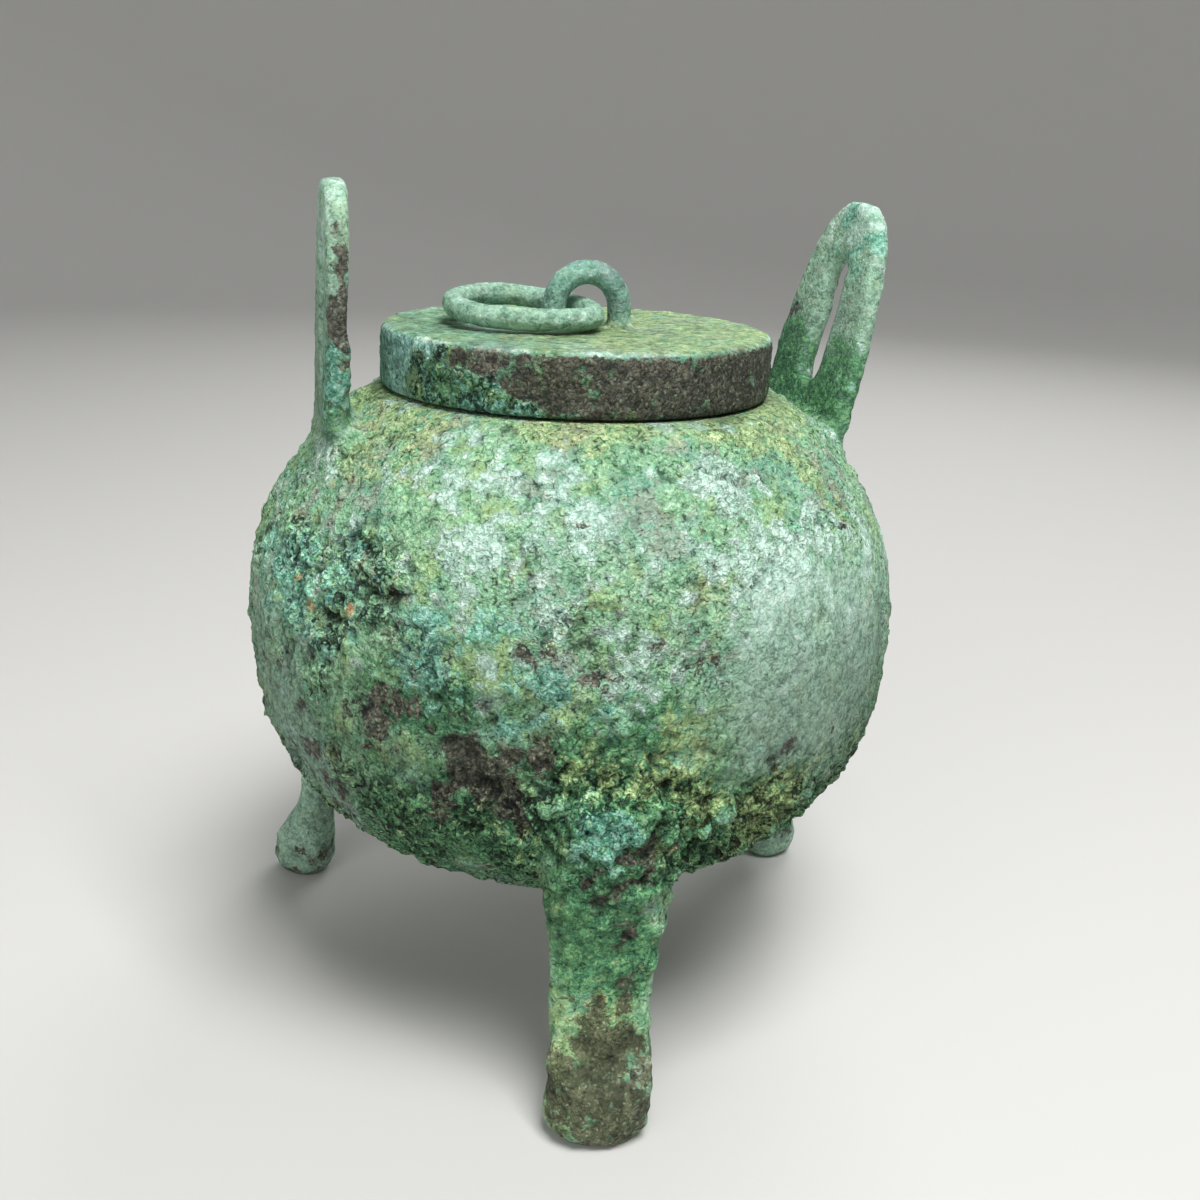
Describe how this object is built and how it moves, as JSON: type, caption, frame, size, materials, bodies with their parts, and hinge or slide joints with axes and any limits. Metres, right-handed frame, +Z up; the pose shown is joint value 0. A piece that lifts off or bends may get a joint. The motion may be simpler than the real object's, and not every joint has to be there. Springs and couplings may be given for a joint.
{
  "type": "bronze pot",
  "caption": "Round-bellied cast bronze tripod pot with upright slotted strap handles, a flat cap lid that lifts off, and a loose ring in the lid's loop.",
  "frame": {"origin": "centre of the whole pot's footprint, on the plane of the soles", "axes": "+Z up; -Y to the front leg; +X to the handle that leans outwards"},
  "size_m": [0.1207, 0.13, 0.1487],
  "materials": {
    "pot_patina": "matte granular green corrosion crust over cast bronze",
    "lid_patina": "matte brown and green corrosion crust over cast bronze",
    "ring_patina": "matte smooth grey-green patina over cast bronze"
  },
  "bodies": {
    "pot": {"pot": "pot_patina", "lid": "lid_patina"},
    "ring": {"ring": "ring_patina"}
  },
  "joints": [
    {"name": "ring_swing", "type": "hinge", "parent": "pot", "child": "ring", "pos_m": [0.00049, 0.0034, 0.12715], "axis": [-0.1736, 0.9848, 0], "range_deg": [0, 178]}
  ]
}
